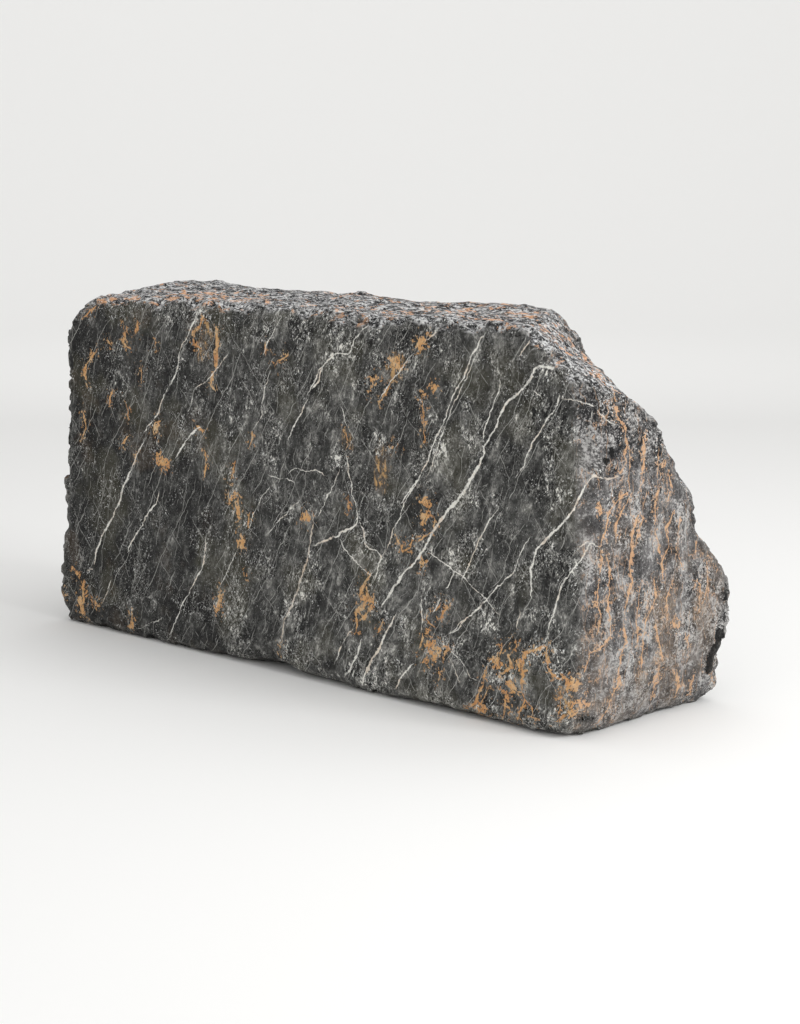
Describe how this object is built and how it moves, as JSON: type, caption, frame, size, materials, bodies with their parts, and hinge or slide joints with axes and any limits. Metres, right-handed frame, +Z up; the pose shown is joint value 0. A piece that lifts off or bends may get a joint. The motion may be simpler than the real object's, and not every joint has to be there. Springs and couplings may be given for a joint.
{
  "type": "marble block",
  "caption": "Rough-squared quarry block of dark veined marble that lies on its flat sawn underside, with one far upper corner broken away in ledges.",
  "frame": {"origin": "on the underside, under the middle of the block's bounding box", "axes": "+X along the block's length towards the broken end, +Y from the flat front face to the back, +Z up"},
  "size_m": [2.4318, 0.724, 1.1992],
  "materials": {
    "marble": "dark grey marble with white and ochre veins, matte with a slight sheen; rough and paler where it is broken"
  },
  "bodies": {
    "root": {"marble_block": "marble"}
  },
  "joints": []
}
